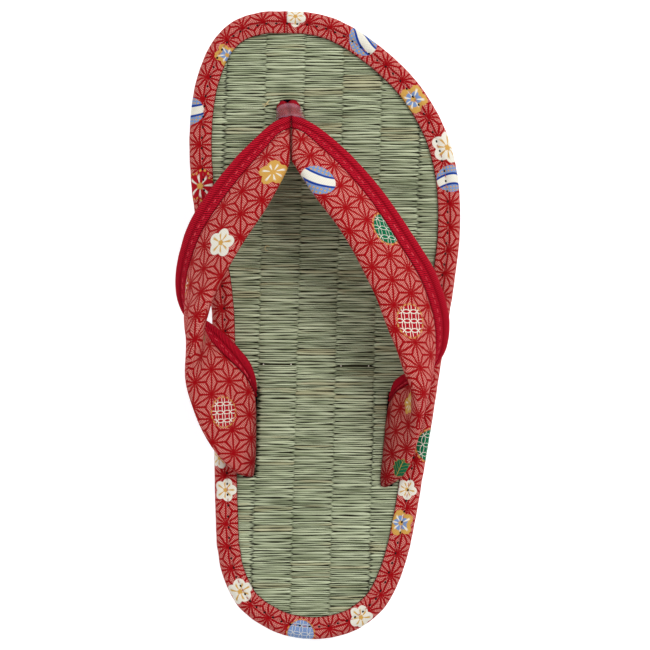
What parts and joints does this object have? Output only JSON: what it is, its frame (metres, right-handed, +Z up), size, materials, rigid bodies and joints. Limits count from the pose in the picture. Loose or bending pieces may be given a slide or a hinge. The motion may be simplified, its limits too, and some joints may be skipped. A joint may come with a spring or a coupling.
{
  "type": "zori sandal",
  "caption": "Child's right-foot zori: rush-mat footbed bound in printed cotton on a sponge sole, with a padded cloth V strap, piping and a toe post in a clear sleeve.",
  "frame": {"origin": "on the ground under the sole, at mid-length on the long axis of the sole", "axes": "+Z up, +Y from heel to toe, +X to the outer (little-toe) side of the right foot"},
  "size_m": [0.0861, 0.1901, 0.0401],
  "materials": {
    "sole_sheet": "pale matt foam sheet",
    "sponge": "blue closed-cell sponge, matt",
    "rush_mat": "woven rush, grey green, slight sheen along the stems",
    "printed_cotton": "plain-woven cotton, salmon and red hemp-leaf print",
    "red_twill": "dark red twill tape",
    "clear_vinyl": "clear soft vinyl"
  },
  "bodies": {
    "root": {"outsole": "sole_sheet", "midsole": "sponge", "footbed": "rush_mat", "edge_binding": "printed_cotton", "upper_straps": "printed_cotton", "piping_inner": "red_twill", "piping_outer": "red_twill", "toe_post": "red_twill", "toe_post_sleeve": "clear_vinyl"}
  },
  "joints": []
}
